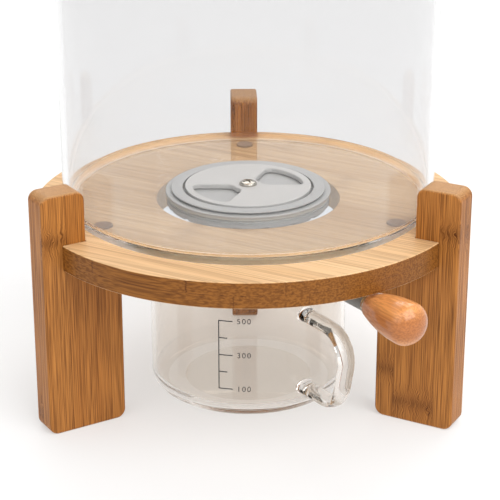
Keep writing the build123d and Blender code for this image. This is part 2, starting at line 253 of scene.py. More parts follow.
def smooth(piece: Piece) -> Piece:
    """Shades a piece smooth between its sharp edges, with flat faces left flat.

    Args:
        piece: The piece.

    Returns:
        The same piece.
    """
    select_only(piece)
    bpy.ops.object.shade_smooth_by_angle(angle=math.radians(SMOOTH_ANGLE))
    apply_modifier(piece, "WEIGHTED_NORMAL", keep_sharp=True)
    return piece


def soften_edges(piece: Piece, width: float, segments: int = 3) -> Piece:
    """Rounds all sharp edges of a piece.

    Args:
        piece: The piece.
        width: Width of the rounding.
        segments: Number of faces across it.

    Returns:
        The same piece, shaded smooth.
    """
    limit = {"limit_method": "ANGLE", "angle_limit": math.radians(SMOOTH_ANGLE)}
    apply_modifier(piece, "BEVEL", width=width, segments=segments, **limit)
    return smooth(piece)


def turned(name: str, outline: Sequence[Point], steps: int = TURN_STEPS) -> Piece:
    """Turns an outline about the upright axis.

    Args:
        name: The piece's name.
        outline: Points of radius and height. If the first and the last lie on the axis, the piece
            is solid there, and otherwise it is a ring.
        steps: Number of steps round the axis.

    Returns:
        The closed piece.
    """
    piece = loop_piece(name, [(radius, 0, height) for radius, height in outline])
    if outline[0][0] == 0:
        bpy.ops.mesh.select_all(action="DESELECT")
        bpy.ops.object.mode_set(mode="OBJECT")
        for edge in piece.data.edges:
            edge.select = all(piece.data.vertices[end].co.x == 0 for end in edge.vertices)
        bpy.ops.object.mode_set(mode="EDIT")
        bpy.ops.mesh.select_mode(type="EDGE")
        bpy.ops.mesh.delete(type="EDGE_FACE")
        bpy.ops.mesh.select_mode(type="VERT")
        bpy.ops.mesh.select_all(action="SELECT")
    bpy.ops.mesh.spin(steps=steps, angle=math.tau, center=(0, 0, 0), axis=(0, 0, 1))
    close_shell()
    return piece


def slab(name: str, outline: Sequence[Point], low: float, high: float) -> Piece:
    """Fills a flat outline and extrudes it upwards.

    Args:
        name: The piece's name.
        outline: Points of the outline, seen from above.
        low: Level of the lower face.
        high: Level of the upper face.

    Returns:
        The closed piece.
    """
    piece = loop_piece(name, [(x, y, low) for x, y in outline])
    bpy.ops.mesh.edge_face_add()
    bpy.ops.mesh.extrude_region_move(TRANSFORM_OT_translate={"value": (0, 0, high - low)})
    close_shell()
    return piece


def drum(name: str, radius: float, low: float, high: float, place: Point = (0, 0)) -> Piece:
    """Makes an upright cylinder, for cutting round holes.

    Args:
        name: The piece's name.
        radius: Its radius.
        low: Level of its lower face.
        high: Level of its upper face.
        place: Where its axis stands, seen from above.

    Returns:
        The closed piece.
    """
    ring = arc(radius, 0, 360, SMALL_TURN_STEPS)[:-1]
    return slab(name, [(place[0] + x, place[1] + y) for x, y in ring], low, high)


def block(name: str, reach: Point, width: float, levels: Point, turn: float) -> Piece:
    """Makes a block that lies across the upright axis or beside it, for cutting notches and slots.

    Args:
        name: The piece's name.
        reach: Where the block starts and ends, out from the axis.
        width: Its width.
        levels: Levels of its lower and upper face.
        turn: Its direction, seen from above.

    Returns:
        The closed piece.
    """
    (start, end), half_width = reach, width / 2
    outline = [(start, -half_width), (end, -half_width), (end, half_width), (start, half_width)]
    piece = slab(name, outline, *levels)
    piece.data.transform(Matrix.Rotation(math.radians(turn), 4, "Z"))
    return piece


def combine(piece: Piece, tools: Sequence[Piece], operation: str) -> None:
    """Cuts tools out of a piece, or unites them with it, and deletes the tools.

    Args:
        piece: The piece that is changed.
        tools: The closed pieces that change it.
        operation: DIFFERENCE or UNION.
    """
    for tool in tools:
        apply_modifier(piece, "BOOLEAN", operation=operation, solver="EXACT", object=tool)
        bpy.data.objects.remove(tool)


def joined(name: str, pieces: Sequence[Piece]) -> Piece:
    """Joins several pieces into one object.

    Args:
        name: The name of the joined object.
        pieces: The pieces.

    Returns:
        The joined object.
    """
    select_only(pieces[0])
    for piece in pieces:
        piece.select_set(True)
    bpy.ops.object.join()
    pieces[0].name = pieces[0].data.name = name
    return pieces[0]


class Tree:
    """A node tree, with short ways to add and link nodes."""

    def __init__(self, tree: bpy.types.NodeTree) -> None:
        """Keeps the node tree that nodes are added to."""
        self.tree = tree

    def node(self, kind: str, inputs: dict[int | str, Input], **settings: object) -> Node:
        """Adds a node.

        Args:
            kind: The node's type.
            inputs: Values or sockets for the node's inputs.
            settings: Values for the node's settings.

        Returns:
            The node.
        """
        made = self.tree.nodes.new(kind)
        for setting, value in settings.items():
            setattr(made, setting, value)
        for key, value in inputs.items():
            if isinstance(value, Socket):
                self.tree.links.new(value, made.inputs[key])
            else:
                made.inputs[key].default_value = value
        return made

    def math(self, operation: str, *values: Input) -> Socket:
        """Adds a math node and returns its result."""
        return self.node("ShaderNodeMath", dict(enumerate(values)), operation=operation).outputs[0]

    def ramp(self, value: Input, low: float, high: float) -> Socket:
        """Adds a smooth step from 0 at the low value to 1 at the high one."""
        inputs = {0: value, 1: low, 2: high}
        return self.node("ShaderNodeMapRange", inputs, interpolation_type="SMOOTHSTEP").outputs[0]

    def blend(self, share: Input, first: Input, second: Input) -> Socket:
        """Adds a mix of two colours, the second one by the given share."""
        return self.node("ShaderNodeMix", {0: share, 6: first, 7: second}, data_type="RGBA").outputs[2]

    def noise(self, place: Input, scale: float = 1.0, detail: float = 2.0) -> Socket:
        """Adds a noise texture and returns its value."""
        inputs = {"Vector": place, "Scale": scale, "Detail": detail}
        return self.node("ShaderNodeTexNoise", inputs).outputs[0]

    def place(self, x: Input, y: Input, z: Input) -> Socket:
        """Adds a vector made of three values."""
        return self.node("ShaderNodeCombineXYZ", {0: x, 1: y, 2: z}).outputs[0]


class Effect(Enum):
    """The effects that several finishes share, each with the name of its node group."""

    BAMBOO = "bamboo_figure"
    SKIN = "moulded_skin"
    POLISH = "polish_marks"


def start_group(effect: Effect, inputs: dict[str, str], outputs: dict[str, str]) -> tuple[Tree, Node]:
    """Starts the node group of an effect.

    Args:
        effect: The effect.
        inputs: Names of the group's inputs, with their kinds.
        outputs: Names of the group's outputs, with their kinds.

    Returns:
        The group's tree, and the node that gives its inputs.
    """
    group = bpy.data.node_groups.new(effect.value, "ShaderNodeTree")
    for way, sockets in (("INPUT", inputs), ("OUTPUT", outputs)):
        for name, kind in sockets.items():
            group.interface.new_socket(name=name, in_out=way, socket_type=f"NodeSocket{kind}")
    tree = Tree(group)
    return tree, tree.node("NodeGroupInput", {})


@dataclass(frozen=True)
class BambooFigure:
    """How strips of bamboo are laid up, and how their fibres show."""

    strip_shift_share: float = 0.37
    strip_shift_along: float = 7.0
    fibre_stretch: float = 90.0
    fibre_detail: float = 3.0
    fibre_range: Point = (0.38, 0.64)
    bundle_size_share: float = 1.5
    bundle_stretch: float = 40.0
    bundle_range: Point = (0.10, 0.45)
    streak_size_share: float = 6.0
    streak_stretch: float = 90.0
    streak_range: Point = (0.28, 0.74)
    knuckle_width: float = 0.0045
    swirl_width: float = 0.014
    swirl_reach: float = 0.007
    swirl_scale: float = 170.0
    seam_width: float = 0.00022
    strip_tone: float = 0.5
    streak_tone: float = 0.5
    bundle_dark: float = 0.24
    fibre_dark: float = 0.68
    swirl_dark: float = 0.16
    knuckle_dark: float = 0.2
    seam_dark: float = 0.5
    roughness: float = 0.36
    fibre_roughness: float = 0.14
    bundle_depth: float = -0.4
    seam_depth: float = -0.6
    fibre_depth: float = -0.35

    def build(self) -> None:
        """Builds the node group that colours laid-up bamboo."""
        tree, given = start_group(
            Effect.BAMBOO,
            {
                "Across": "Float", "Ply": "Float", "Along": "Float", "Sawn": "Float",
                "Strip Width": "Float", "Ply Height": "Float", "Fibre Size": "Float",
                "Knuckle Spacing": "Float", "Contrast": "Float", "Sawn Contrast": "Float",
                "Light": "Color", "Mid": "Color", "Dark": "Color", "Edge": "Color",
            },
            {"Color": "Color", "Roughness": "Float", "Height": "Float"},
        )
        across, ply, along = (given.outputs[name] for name in ("Across", "Ply", "Along"))
        strip_width, ply_height = given.outputs["Strip Width"], given.outputs["Ply Height"]
        spacing, fibre_size = given.outputs["Knuckle Spacing"], given.outputs["Fibre Size"]
        ply_index = tree.math("FLOOR", tree.math("DIVIDE", ply, ply_height))
        strip_place = tree.math("DIVIDE", across, strip_width)
        strip_place = tree.math("MULTIPLY_ADD", ply_index, self.strip_shift_share, strip_place)
        strip_index = tree.math("FLOOR", strip_place)
        chance = tree.node("ShaderNodeTexWhiteNoise", {"Vector": tree.place(strip_index, ply_index, 0.5)})
        chances = tree.node("ShaderNodeSeparateColor", {0: chance.outputs["Color"]}).outputs
        along = tree.math("ADD", along, tree.math("MULTIPLY", chances[0], self.strip_shift_along))

        knuckle_place = tree.math("ADD", tree.math("DIVIDE", along, spacing), chances[1])
        from_knuckle = tree.math("SUBTRACT", tree.math("FRACT", knuckle_place), 0.5)
        from_knuckle = tree.math("ABSOLUTE", tree.math("MULTIPLY", from_knuckle, spacing))
        near_knuckle = tree.math("SUBTRACT", 1.0, tree.ramp(from_knuckle, 0.0, self.swirl_width))
        swirl = tree.noise(tree.place(across, ply, along), self.swirl_scale)
        swirl = tree.math("MULTIPLY", tree.math("SUBTRACT", swirl, 0.5), near_knuckle)
        swirled = tree.math("MULTIPLY_ADD", swirl, self.swirl_reach, across)

        def stretched(size_share: float, stretch: float) -> Socket:
            """Gives the place in the strip, counted in lengths that follow the grain.

            Args:
                size_share: Size of a mark across the grain, over that of a fibre.
                stretch: Its length along the grain, over its size across.

            Returns:
                The place.
            """
            size = tree.math("MULTIPLY", fibre_size, size_share)
            length = tree.math("MULTIPLY", size, stretch)
            places = (swirled, size), (ply, size), (along, length)
            return tree.place(*(tree.math("DIVIDE", place, step) for place, step in places))

        fibres = tree.noise(stretched(1.0, self.fibre_stretch), detail=self.fibre_detail)
        fibres = tree.ramp(fibres, *self.fibre_range)
        cells = {"Vector": stretched(self.bundle_size_share, self.bundle_stretch), "Scale": 1.0}
        cells = tree.node("ShaderNodeTexVoronoi", cells).outputs["Distance"]
        bundles = tree.math("SUBTRACT", 1.0, tree.ramp(cells, *self.bundle_range))
        streaks = tree.noise(stretched(self.streak_size_share, self.streak_stretch))
        streaks = tree.ramp(streaks, *self.streak_range)
        wobble = tree.math("MULTIPLY", tree.math("SUBTRACT", fibres, 0.5), self.knuckle_width)
        knuckle = tree.ramp(tree.math("ADD", from_knuckle, wobble), self.knuckle_width, 0.0)

        strip_part = tree.math("FRACT", strip_place)
        from_seam = tree.math("MINIMUM", strip_part, tree.math("SUBTRACT", 1.0, strip_part))
        ply_part = tree.math("FRACT", tree.math("DIVIDE", ply, ply_height))
        from_joint = tree.math("MINIMUM", ply_part, tree.math("SUBTRACT", 1.0, ply_part))
        from_joint = tree.math("MULTIPLY", from_joint, ply_height)
        from_seam = tree.math("MINIMUM", tree.math("MULTIPLY", from_seam, strip_width), from_joint)
        seam = tree.ramp(from_seam, self.seam_width, 0.0)

        tone = tree.math("MULTIPLY", streaks, self.streak_tone)
        tone = tree.math("MULTIPLY_ADD", chances[2], self.strip_tone, tone)
        colour = tree.blend(tone, given.outputs["Light"], given.outputs["Mid"])
        # Faces marked as sawn take the edge colour. It holds the wood's sawn tone plus painted shading:
        # painted shade on the board's rim and the knob's sides, and painted light on the legs' tops and the
        # board's hole wall.
        colour = tree.blend(given.outputs["Sawn"], colour, given.outputs["Edge"])
        dark_share = tree.math("MULTIPLY", fibres, self.fibre_dark)
        darker = (
            (bundles, self.bundle_dark), (near_knuckle, self.swirl_dark),
            (knuckle, self.knuckle_dark), (seam, self.seam_dark),
        )
        for mark, share in darker:
            dark_share = tree.math("MULTIPLY_ADD", mark, share, dark_share)
        plain, sawn = given.outputs["Contrast"], given.outputs["Sawn Contrast"]
        contrast = tree.node("ShaderNodeMapRange", {0: given.outputs["Sawn"], 3: plain, 4: sawn}).outputs[0]
        dark_share = tree.math("MULTIPLY", dark_share, contrast)
        colour = tree.blend(dark_share, colour, given.outputs["Dark"])
        roughness = tree.math("MULTIPLY_ADD", fibres, self.fibre_roughness, self.roughness)
        height = tree.math("MULTIPLY", seam, self.seam_depth)
        height = tree.math("MULTIPLY_ADD", bundles, self.bundle_depth, height)
        height = tree.math("MULTIPLY_ADD", fibres, self.fibre_depth, height)
        tree.node("NodeGroupOutput", {"Color": colour, "Roughness": roughness, "Height": height})


@dataclass(frozen=True)
class MouldedSkin:
    """The fine uneven skin of moulded plastic, silicone and cast metal."""

    grain_scale: float = 900.0
    grain_roughness: float = 0.06
    cloud_scale: float = 35.0
    cloud_detail: float = 3.0
    cloud_range: Point = (0.3, 0.75)
    cloud_share: float = 0.35
    cloud_roughness: float = 0.10

    def build(self) -> None:
        """Builds the node group that varies the tone and gloss of a moulded skin."""
        tree, given = start_group(
            Effect.SKIN,
            {"Vector": "Vector", "Base": "Color", "Worn": "Color", "Gloss": "Float"},
            {"Color": "Color", "Roughness": "Float", "Height": "Float"},
        )
        place = given.outputs["Vector"]
        grain = tree.noise(place, self.grain_scale)
        clouds = tree.noise(place, self.cloud_scale, self.cloud_detail)
        clouds = tree.ramp(clouds, *self.cloud_range)
        worn_share = tree.math("MULTIPLY", clouds, self.cloud_share)
        colour = tree.blend(worn_share, given.outputs["Base"], given.outputs["Worn"])
        roughness = tree.math("MULTIPLY_ADD", clouds, self.cloud_roughness, given.outputs["Gloss"])
        roughness = tree.math("MULTIPLY_ADD", grain, self.grain_roughness, roughness)
        tree.node("NodeGroupOutput", {"Color": colour, "Roughness": roughness, "Height": grain})


@dataclass(frozen=True)
class PolishMarks:
    """The slow waves in blown glass and the faint marks of wiping on it."""

    wave_scale: float = 9.0
    wave_detail: float = 1.0
    mark_scale: float = 60.0
    mark_detail: float = 4.0
    mark_range: Point = (0.55, 0.8)
    mark_roughness: float = 0.02

    def build(self) -> None:
        """Builds the node group of waves and wiping marks on polished glass."""
        tree, given = start_group(
            Effect.POLISH, {"Vector": "Vector", "Haze": "Float"}, {"Roughness": "Float", "Height": "Float"}
        )
        place = given.outputs["Vector"]
        waves = tree.noise(place, self.wave_scale, self.wave_detail)
        marks = tree.ramp(tree.noise(place, self.mark_scale, self.mark_detail), *self.mark_range)
        roughness = tree.math("MULTIPLY_ADD", marks, self.mark_roughness, given.outputs["Haze"])
        tree.node("NodeGroupOutput", {"Roughness": roughness, "Height": waves})


def start_material(name: str) -> tuple[Material, Tree, Node]:
    """Starts a material with a bare shader.

    Args:
        name: The material's name.

    Returns:
        The material, its tree and its Principled BSDF.
    """
    material = bpy.data.materials.new(name)
    material.use_nodes = True
    shader = material.node_tree.nodes["Principled BSDF"]
    return material, Tree(material.node_tree), shader


def place_group(tree: Tree, effect: Effect, inputs: dict[str, Input]) -> Node:
    """Places the node group of an effect in a tree.

    Args:
        tree: The material's tree.
        effect: The effect.
        inputs: Values, colours or sockets for the group's inputs.

    Returns:
        The group's node.
    """
    full = {key: (*value, 1.0) if isinstance(value, tuple) else value for key, value in inputs.items()}
    return tree.node("ShaderNodeGroup", full, node_tree=bpy.data.node_groups[effect.value])


def feed_shader(tree: Tree, shader: Node, source: Node, depth: float) -> None:
    """Links a group's outputs to the shader, its height as a bump.

    Args:
        tree: The material's tree.
        shader: The Principled BSDF.
        source: The group's node.
        depth: Depth of the bump.
    """
    for output, socket in (("Color", "Base Color"), ("Roughness", "Roughness")):
        if output in source.outputs:
            tree.tree.links.new(source.outputs[output], shader.inputs[socket])
    relief = {"Strength": 1.0, "Distance": depth, "Height": source.outputs["Height"]}
    bump = tree.node("ShaderNodeBump", relief)
    tree.tree.links.new(bump.outputs["Normal"], shader.inputs["Normal"])


class Grain(Enum):
    """How the grain of a wooden piece runs in its turned frame.

    Each has the frame's axes that run across the strips, through the plies and along the grain, and how
    far a face looks up or down, from 0 to 1, where it starts to look sawn and where it wholly does. These
    faces take the finish's edge colour, which holds the sawn tone plus painted shade on the board's rim and
    the knob's sides, and painted light on the legs' tops and the board's hole wall.
    """

    UPRIGHT = ((0, 1, 2), (0.25, 0.95))
    LEVEL = ((1, 2, 0), (0.85, 0.2))


@dataclass(frozen=True)
class WoodFinish:
    """Varnished bamboo or turned wood."""

    light: Colour
    mid: Colour
    dark: Colour
    # Colour of the faces marked as sawn: their sawn tone, with painted shading added where a finish's
    # comment says so.
    edge: Colour
    contrast: float
    sawn_contrast: float
    strip_width: float
    ply_height: float
    fibre_size: float
    knuckle_spacing: float
    coat: float
    coat_roughness: float
    specular: float = 0.25
    bump_depth: float = 0.00008

    def material(self, name: str, grain: Grain, turn: float, start: Place) -> Material:
        """Makes the material for a piece.

        Args:
            name: The material's name.
            grain: How the grain runs in the turned frame.
            turn: Angle of the turned frame's x, seen from above.
            start: Where a strip, a ply and a knuckle start in the turned frame.

        Returns:
            The material.
        """
        material, tree, shader = start_material(name)
        coordinates = tree.node("ShaderNodeTexCoord", {})
        rotation = (0, 0, -math.radians(turn))
        sides = []
        for source, shift in (("Object", tuple(-value for value in start)), ("Normal", (0, 0, 0))):
            inputs = {"Vector": coordinates.outputs[source], "Location": shift, "Rotation": rotation}
            turned_place = tree.node("ShaderNodeMapping", inputs).outputs[0]
            sides.append(tree.node("ShaderNodeSeparateXYZ", {0: turned_place}).outputs)
        place, facing = sides
        order, sawn_range = grain.value
        across, ply, along = (place[axis] for axis in order)
        # Marks faces by which way they look. These faces take the edge colour with its painted shading.
        sawn = tree.ramp(tree.math("ABSOLUTE", facing[2]), *sawn_range)
        figure = place_group(
            tree,
            Effect.BAMBOO,
            {
                "Across": across, "Ply": ply, "Along": along, "Sawn": sawn,
                "Strip Width": self.strip_width, "Ply Height": self.ply_height,
                "Fibre Size": self.fibre_size, "Knuckle Spacing": self.knuckle_spacing,
                "Contrast": self.contrast, "Sawn Contrast": self.sawn_contrast,
                "Light": self.light, "Mid": self.mid, "Dark": self.dark, "Edge": self.edge,
            },
        )
        feed_shader(tree, shader, figure, self.bump_depth)
        shader.inputs["Specular IOR Level"].default_value = self.specular
        shader.inputs["Coat Weight"].default_value = self.coat
        shader.inputs["Coat Roughness"].default_value = self.coat_roughness
        return material


@dataclass(frozen=True)
class SkinFinish:
    """Moulded plastic, silicone or metal with a fine skin."""

    base: Colour
    worn: Colour
    gloss: float
    metallic: float = 0.0
    bump_depth: float = 0.00001

    def material(self, name: str) -> Material:
        """Makes the material for a piece.

        Args:
            name: The material's name.

        Returns:
            The material.
        """
        material, tree, shader = start_material(name)
        coordinates = tree.node("ShaderNodeTexCoord", {})
        inputs = {"Vector": coordinates.outputs["Object"], "Gloss": self.gloss}
        skin = place_group(tree, Effect.SKIN, inputs | {"Base": self.base, "Worn": self.worn})
        feed_shader(tree, shader, skin, self.bump_depth)
        shader.inputs["Metallic"].default_value = self.metallic
        return material


@dataclass(frozen=True)
class GlassFinish:
    """Clear polished glass, which may be tinted or hazy."""

    tint: Colour
    shade: Colour
    refraction: float
    wave_depth: float
    haze: float = 0.004
    reflection: float = 0.35

    def material(self, name: str) -> Material:
        """Makes the material for a piece.

        Args:
            name: The material's name.

        Returns:
            The material.
        """
        material, tree, shader = start_material(name)
        coordinates = tree.node("ShaderNodeTexCoord", {})
        inputs = {"Vector": coordinates.outputs["Object"], "Haze": self.haze}
        polish = place_group(tree, Effect.POLISH, inputs)
        feed_shader(tree, shader, polish, self.wave_depth)
        shader.inputs["Base Color"].default_value = (*self.tint, 1.0)
        shader.inputs["Metallic"].default_value = 0.0
        shader.inputs["Transmission Weight"].default_value = 1.0
        shader.inputs["IOR"].default_value = self.refraction
        shader.inputs["Specular Tint"].default_value = (*(self.reflection,) * 3, 1.0)
        path = tree.node("ShaderNodeLightPath", {}).outputs
        lets_light_by = tree.math("MAXIMUM", path["Is Shadow Ray"], path["Is Diffuse Ray"])
        clear = tree.node("ShaderNodeBsdfTransparent", {"Color": (*self.shade, 1.0)})
        shaders = {0: lets_light_by, 1: shader.outputs[0], 2: clear.outputs[0]}
        mixed = tree.node("ShaderNodeMixShader", shaders)
        tree.tree.links.new(mixed.outputs[0], material.node_tree.nodes["Material Output"].inputs["Surface"])
        return material


# The edge colour, much darker than the top, is partly the sawn edge's own tone and partly painted shade on
# the upright rim.
BOARD_BAMBOO = WoodFinish(
    light=(0.87, 0.585, 0.315), mid=(0.67, 0.405, 0.188),
    dark=(0.09, 0.026, 0.004), edge=(0.248, 0.093, 0.016),
    contrast=0.36, sawn_contrast=0.9, strip_width=0.021, ply_height=0.007, fibre_size=0.0009,
    knuckle_spacing=0.27, coat=0.06, coat_roughness=0.28, specular=0.15,
)
# Painted light: the hole's wall takes a pale edge colour, far lighter than the rim's, so that the shaded
# wall reads as lit.
HOLE_BAMBOO_PAINTED_LIGHT = replace(BOARD_BAMBOO, edge=(0.84, 0.62, 0.40), sawn_contrast=0.3)
# Painted shade: the lid is the board's bamboo made darker, because it sits nearer the lights.
LID_BAMBOO_PAINTED_SHADE = replace(BOARD_BAMBOO, light=(0.62, 0.36, 0.145), mid=(0.49, 0.255, 0.088), contrast=0.5)
# The edge colour on the legs' tops and feet is paler and less saturated than their faces. It is partly the
# end grain's tone and partly painted light on the lit tops.
LEG_BAMBOO = WoodFinish(
    light=(0.475, 0.195, 0.044), mid=(0.40, 0.148, 0.029),
    dark=(0.085, 0.021, 0.002), edge=(0.50, 0.27, 0.11),
    contrast=1.0, sawn_contrast=0.6, strip_width=0.023, ply_height=0.0054, fibre_size=0.00042,
    knuckle_spacing=0.21, coat=0.06, coat_roughness=0.32, specular=0.18,
)
# Painted shade: the edge colour makes the knob's sideways-facing sides and tip darker than its top.
KNOB_WOOD = WoodFinish(
    light=(0.79, 0.36, 0.12), mid=(0.65, 0.25, 0.07),
    dark=(0.15, 0.038, 0.007), edge=(0.43, 0.145, 0.033),
    contrast=0.45, sawn_contrast=0.5, strip_width=0.2, ply_height=0.2, fibre_size=0.0009,
    knuckle_spacing=3.0, coat=0.7, coat_roughness=0.07, bump_depth=0.00001,
)
JAR_GLASS = GlassFinish(
    tint=(0.85, 0.848, 0.85), shade=(0.997, 0.995, 0.995), refraction=1.47, wave_depth=0.00008
)
FLOOR_GLASS = replace(JAR_GLASS, tint=(0.91, 0.955, 1.0), reflection=1.0)
# Painted reflection: the heel's amber tint stands in for the bamboo seen through the glass corner. Its haze
# is the glass's own.
HEEL_GLASS_PAINTED_REFLECTION = GlassFinish(
    tint=(1.0, 0.94, 0.84), shade=(0.98, 0.98, 0.98), refraction=1.47, wave_depth=0.00008, haze=0.28
)
CUP_GLASS = GlassFinish(
    tint=(0.90, 0.865, 0.825), shade=(0.98, 0.98, 0.97), refraction=1.47, wave_depth=0.00005
)
# The frosted ground edge of the jar's hole. Its warm tint is a painted reflection of the bamboo.
GROUND_GLASS_PAINTED_REFLECTION = SkinFinish(base=(0.80, 0.66, 0.47), worn=(0.70, 0.57, 0.40), gloss=0.6)
GREY_PLASTIC = SkinFinish(base=(0.455, 0.45, 0.438), worn=(0.41, 0.406, 0.395), gloss=0.30)
# The seat's grey is darker than the disc's: partly its own moulding, partly painted shade on the window
# floors inside the recesses.
SEAT_PLASTIC_AND_PAINTED_SHADE = SkinFinish(base=(0.365, 0.367, 0.362), worn=(0.328, 0.33, 0.325), gloss=0.26)
GREY_SILICONE = SkinFinish(base=(0.45, 0.46, 0.45), worn=(0.41, 0.42, 0.41), gloss=0.5)
CLEAR_SILICONE = SkinFinish(base=(0.28, 0.205, 0.15), worn=(0.23, 0.168, 0.122), gloss=0.38)
BRIGHT_STEEL = SkinFinish(base=(0.55, 0.52, 0.46), worn=(0.47, 0.44, 0.39), gloss=0.1, metallic=1.0)
PLAIN_STEEL = SkinFinish(base=(0.5, 0.5, 0.49), worn=(0.42, 0.42, 0.41), gloss=0.34, metallic=1.0)
GREY_METAL = SkinFinish(base=(0.17, 0.175, 0.17), worn=(0.22, 0.225, 0.22), gloss=0.36)
SCALE_INK = SkinFinish(base=(0.012, 0.012, 0.012), worn=(0.02, 0.02, 0.02), gloss=0.42)


def settle(piece: Piece, material: Material, body: str, node: str | None = None) -> None:
    """Dresses a finished piece and lets it ride on its body.

    Args:
        piece: The piece, in its place in the frame.
        material: Its material.
        body: The body that it moves with.
        node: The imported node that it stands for, if there is one.
    """
    piece.data.materials.clear()
    piece.data.materials.append(material)
    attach(piece, body)
    if node:
        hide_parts(node)
    LOG.info("%s rides on %s, %d faces", piece.name, body, len(piece.data.polygons))


def dress_nodes(finish: SkinFinish, slot: str, nodes: Sequence[str]) -> None:
    """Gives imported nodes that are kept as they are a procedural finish.

    Args:
        finish: The finish.
        slot: The record's material slot, which names the material.
        nodes: The nodes.
    """
    for node in nodes:
        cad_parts[node].material_slots[0].material = finish.material(f"{node}_{slot}")
        LOG.info("%s keeps its solid", node)


@dataclass
class Stand:
    """The bamboo board, its three legs, and the pads over the leg screws."""

    body: str = "stand"
    board_hole_radius: float = 0.0495
    board_edge: float = 0.0008
    grain_turn: float = -30.0
    wood_fit: float = 0.0001
    leg_angles: dict[str, float] = field(default_factory=lambda: dict(LEG_ANGLES))
    knuckle_starts: dict[str, float] = field(default_factory=lambda: dict(LEG_KNUCKLES))
    leg_thickness: float = 0.016
    leg_outer: float = 0.1265
    leg_post_inner: float = 0.102
    leg_foot_inner: float = 0.082
    leg_corner: float = 0.005
    leg_edge: float = 0.0012
    strip_start: float = 0.0985
    pad_circle: float = 0.087
    pad_radius: float = 0.0047
    pad_edge: float = 0.0004

    def __post_init__(self) -> None:
        """Reads the levels and the radius that the frame gives."""
        self.board_low, self.board_high = level_of("stand_board")
        self.board_radius = radius_of("stand_board")
        self.leg_top = level_of("leg_back")[1]
        self.pad_low, self.pad_high = level_of("jar_pads")

    def build(self) -> None:
        """Builds and settles all pieces of the stand."""
        self.board()
        for name, angle in self.leg_angles.items():
            self.leg(name, angle)
        self.pads()
        dress_nodes(PLAIN_STEEL, "plain_steel", ["leg_screws"])

    def around(self, radius: float) -> list[Point]:
        """Gives the three places at a radius on the legs' planes."""
        angles = (math.radians(angle) for angle in self.leg_angles.values())
        return [(radius * math.cos(angle), radius * math.sin(angle)) for angle in angles]

    def board(self) -> None:
        """Models the board: a disc, holed for the valve and notched for the posts."""
        name = "stand_board_bamboo"
        rim = arc(self.board_radius, 0, 360, TURN_STEPS)[:-1]
        board = slab(name, rim, self.board_low, self.board_high)
        below, above = self.board_low - self.leg_thickness, self.board_high + self.leg_thickness
        tools = [drum("hole", self.board_hole_radius, below, above)]
        width = self.leg_thickness + 2 * self.wood_fit
        reach = (self.leg_post_inner - self.wood_fit, self.leg_outer)
        for angle in self.leg_angles.values():
            tools.append(block("notch", reach, width, (below, above), angle))
        for spot in self.around(self.pad_circle):
            tools.append(drum("plug", self.pad_radius, self.pad_low, above, spot))
        combine(board, tools, "DIFFERENCE")
        soften_edges(board, self.board_edge)
        start = (0.0, 0.0, self.board_low)
        finish = BOARD_BAMBOO.material(name, Grain.LEVEL, self.grain_turn, start)
        settle(board, finish, self.body, "stand_board")
        # The hole's wall gets the bamboo with painted light.
        cut = HOLE_BAMBOO_PAINTED_LIGHT.material(f"{name}_hole", Grain.LEVEL, self.grain_turn, start)
        board.data.materials.append(cut)
        for face in board.data.polygons:
            if face.center.xy.length < self.board_hole_radius + self.board_edge / 2:
                face.material_index = 1

    def leg(self, name: str, angle: float) -> None:
        """Models a leg: a flat outline with a ledge for the board, thickened and rounded.

        Args:
            name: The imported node.
            angle: Direction of the leg, seen from above.
        """
        outline = rounded(
            [
                (self.leg_foot_inner, 0, self.leg_corner),
                (self.leg_outer, 0, self.leg_corner),
                (self.leg_outer, self.leg_top, self.leg_corner),
                (self.leg_post_inner, self.leg_top, self.leg_corner),
                (self.leg_post_inner, self.board_low, 0),
                (self.leg_foot_inner, self.board_low, 0),
            ]
        )
        leg = slab(f"{name}_bamboo", outline, -self.leg_thickness / 2, self.leg_thickness / 2)
        leg.data.transform(upright_frame(angle))
        soften_edges(leg, self.leg_edge)
        start = (self.strip_start, 0.0, self.knuckle_starts[name])
        finish = LEG_BAMBOO.material(leg.name, Grain.UPRIGHT, angle, start)
        settle(leg, finish, self.body, name)

    def pads(self) -> None:
        """Models the soft pads that plug the screw holes and carry the jar."""
        pads = []
        for x, y in self.around(self.pad_circle):
            pad = drum("pad", self.pad_radius, self.pad_low, self.pad_high, (x, y))
            pads.append(soften_edges(pad, self.pad_edge))
        pieces = joined("jar_pads_silicone", pads)
        settle(pieces, CLEAR_SILICONE.material(pieces.name), self.body, "jar_pads")


